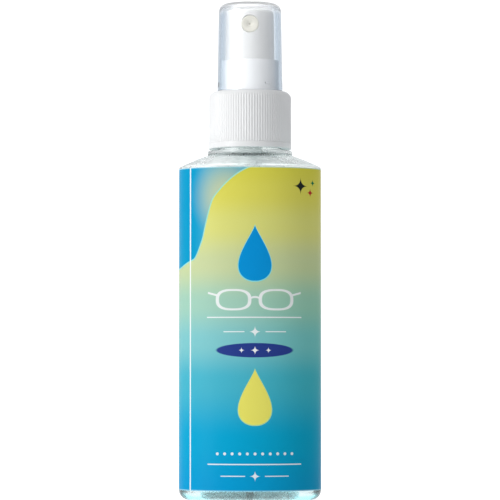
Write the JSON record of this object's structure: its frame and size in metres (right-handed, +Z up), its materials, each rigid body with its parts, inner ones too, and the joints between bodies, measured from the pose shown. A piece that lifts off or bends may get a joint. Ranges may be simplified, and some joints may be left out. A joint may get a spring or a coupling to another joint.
{
  "type": "lens cleaning spray bottle",
  "caption": "Oval clear bottle with a wrap-round label, a ribbed screw closure, a finger-press fine-mist pump and a clear push-on overcap.",
  "frame": {"origin": "middle of the bottle's base, on the pump's axis, at the height of the surface it stands on", "axes": "+Z up along the pump's axis; the nozzle sprays towards -Y; +X is across the wide side of the oval body"},
  "size_m": [0.0492, 0.0332, 0.172],
  "materials": {
    "bottle_clear": "clear blown PET, glossy",
    "label_print": "printed film, satin gloss, yellow over blue",
    "fluid": "clear watery fluid",
    "pump_natural": "natural polypropylene",
    "seal_rubber": "moulded rubber",
    "gasket_foam": "white foamed polyethylene",
    "tube_clear": "natural polyethylene tube",
    "spring_steel": "drawn stainless wire",
    "ball_steel": "polished stainless ball",
    "piston_soft": "soft polyethylene",
    "valve_plastic": "moulded polypropylene",
    "pump_white": "white moulded polypropylene, satin gloss",
    "nozzle_cream": "cream moulded acetal",
    "cap_clear": "clear moulded polystyrene"
  },
  "bodies": {
    "bottle": {"bottle": "bottle_clear", "label": "label_print", "cleaning_fluid": "fluid"},
    "pump_engine": {"pump_housing": "pump_natural", "housing_cap": "pump_natural", "stem_seal": "seal_rubber", "neck_gasket": "gasket_foam", "dip_tube": "tube_clear", "return_spring": "spring_steel"},
    "closure": {"closure": "pump_white"},
    "overcap": {"overcap": "cap_clear"},
    "plunger": {"piston": "piston_soft"},
    "spray_head": {"stem": "valve_plastic", "actuator": "pump_white", "nozzle_insert": "nozzle_cream"},
    "valve": {"poppet": "valve_plastic"},
    "ball": {"inlet_ball": "ball_steel"}
  },
  "joints": [
    {"name": "closure_turn", "type": "hinge", "parent": "pump_engine", "child": "closure", "pos_m": [0, 0, 0.131], "axis": [0, 0, 1], "range_deg": [0, 540]},
    {"name": "pump_rise", "type": "slide", "parent": "bottle", "child": "pump_engine", "axis": [0, 0, 1], "range_m": [0, 0.00477]},
    {"name": "overcap_pull", "type": "slide", "parent": "closure", "child": "overcap", "axis": [0, 0, 1], "range_m": [0, 0.045]},
    {"name": "actuator_press", "type": "slide", "parent": "pump_engine", "child": "plunger", "axis": [0, 0, -1], "range_m": [0, 0.0045], "stiffness_N_per_m": 900, "springref_m": -0.005, "deforming": ["return_spring"]},
    {"name": "actuator_swivel", "type": "hinge", "parent": "plunger", "child": "spray_head", "pos_m": [0, 0, 0.15], "axis": [0, 0, 1], "continuous": true},
    {"name": "valve_follow", "type": "slide", "parent": "pump_engine", "child": "valve", "axis": [0, 0, -1], "range_m": [0, 0.00487]},
    {"name": "ball_lift", "type": "slide", "parent": "pump_engine", "child": "ball", "axis": [0, 0, 1], "range_m": [0, 0.0012]}
  ],
  "couplings": [
    {"joint": "pump_rise", "follows": "closure_turn", "m_per_rad": 0.00050532},
    {"joint": "valve_follow", "follows": "actuator_press", "ratio": 1.08}
  ]
}
